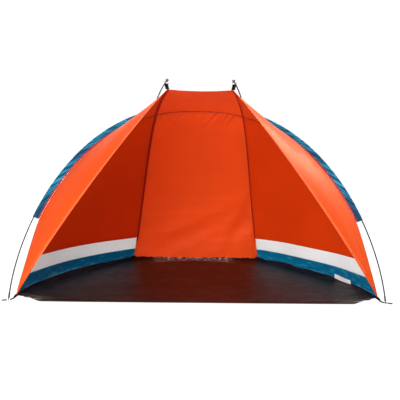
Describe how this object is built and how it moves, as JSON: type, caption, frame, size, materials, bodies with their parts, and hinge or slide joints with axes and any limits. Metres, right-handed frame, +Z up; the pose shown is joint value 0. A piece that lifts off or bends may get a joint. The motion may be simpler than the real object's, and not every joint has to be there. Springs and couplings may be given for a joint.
{
  "type": "beach shelter",
  "caption": "Pole-framed beach shelter: orange canopy and sewn-in floor held up by a leaning front hoop and two crossing ribs, open at the front.",
  "frame": {"origin": "on the ground at the middle of the shelter's footprint", "axes": "+Z up, the open side faces -Y, +X along the width"},
  "size_m": [2.1468, 1.2035, 1.213],
  "materials": {
    "orange_fabric": "coated woven polyester, soft sheen",
    "white_fabric": "coated woven polyester",
    "teal_fabric": "coated woven polyester",
    "groundsheet": "woven polyethylene, glossy",
    "pole": "black glass-fibre tube",
    "ferrule": "plain drawn",
    "steel": "nickel plated",
    "cord": "braided elastic cord",
    "webbing": "woven polypropylene webbing",
    "knob": "moulded nylon",
    "label": "white satin ribbon"
  },
  "bodies": {
    "shelter": {"back_panel": "orange_fabric", "ear_knob_left": "knob", "ear_knob_right": "knob", "ear_ring_left": "steel", "ear_ring_right": "steel", "ear_tab_left": "webbing", "ear_tab_right": "webbing", "eyelet_front_left": "steel", "eyelet_front_right": "steel", "eyelet_rear_left": "steel", "eyelet_rear_right": "steel", "groundsheet": "groundsheet", "hoop_ferrule_1": "ferrule", "hoop_ferrule_2": "ferrule", "hoop_ferrule_3": "ferrule", "hoop_ferrule_4": "ferrule", "hoop_section_1": "pole", "hoop_section_2": "pole", "hoop_section_3": "pole", "hoop_section_4": "pole", "hoop_section_5": "pole", "hoop_shock_cord": "cord", "hoop_sleeve": "teal_fabric", "hoop_tip_left": "ferrule", "hoop_tip_right": "ferrule", "rib_left_ferrule_1": "ferrule", "rib_left_ferrule_2": "ferrule", "rib_left_section_1": "pole", "rib_left_section_2": "pole", "rib_left_section_3": "pole", "rib_left_shock_cord": "cord", "rib_right_ferrule_1": "ferrule", "rib_right_ferrule_2": "ferrule", "rib_right_section_1": "pole", "rib_right_section_2": "pole", "rib_right_section_3": "pole", "rib_right_shock_cord": "cord", "rib_sleeve_left": "teal_fabric", "rib_sleeve_right": "teal_fabric", "rib_tip_left": "ferrule", "rib_tip_right": "ferrule", "roof_panel": "orange_fabric", "side_wall_left": "orange_fabric", "side_wall_right": "orange_fabric", "strap_front_left": "webbing", "strap_front_right": "webbing", "strap_rear_left": "webbing", "strap_rear_right": "webbing", "teal_band_left": "teal_fabric", "teal_band_right": "teal_fabric", "white_band_left": "white_fabric", "white_band_right": "white_fabric", "wing_left": "orange_fabric", "wing_right": "orange_fabric"},
    "peg_loop_front_left": {"peg_loop_front_left": "webbing"},
    "peg_loop_front_right": {"peg_loop_front_right": "webbing"},
    "peg_loop_rear_left": {"peg_loop_rear_left": "webbing"},
    "peg_loop_rear_right": {"peg_loop_rear_right": "webbing"},
    "care_label": {"care_label": "label"}
  },
  "joints": [
    {"name": "peg_loop_front_left_lift", "type": "hinge", "parent": "shelter", "child": "peg_loop_front_left", "pos_m": [-1.04895, -0.57029, 0.002], "axis": [-0.4316, 0.902, 0], "range_deg": [0, 85]},
    {"name": "peg_loop_front_right_lift", "type": "hinge", "parent": "shelter", "child": "peg_loop_front_right", "pos_m": [1.04895, -0.57029, 0.002], "axis": [-0.4316, -0.902, 0], "range_deg": [0, 85]},
    {"name": "peg_loop_rear_left_lift", "type": "hinge", "parent": "shelter", "child": "peg_loop_rear_left", "pos_m": [-0.44923, 0.57691, 0.002], "axis": [0.9126, 0.4089, 0], "range_deg": [0, 85]},
    {"name": "peg_loop_rear_right_lift", "type": "hinge", "parent": "shelter", "child": "peg_loop_rear_right", "pos_m": [0.44923, 0.57691, 0.002], "axis": [0.9126, -0.4089, 0], "range_deg": [0, 85]},
    {"name": "care_label_flap", "type": "hinge", "parent": "shelter", "child": "care_label", "pos_m": [0.88139, -0.15493, 0.01577], "axis": [0.3638, -0.9315, 0.0081], "range_deg": [0, 60]}
  ]
}
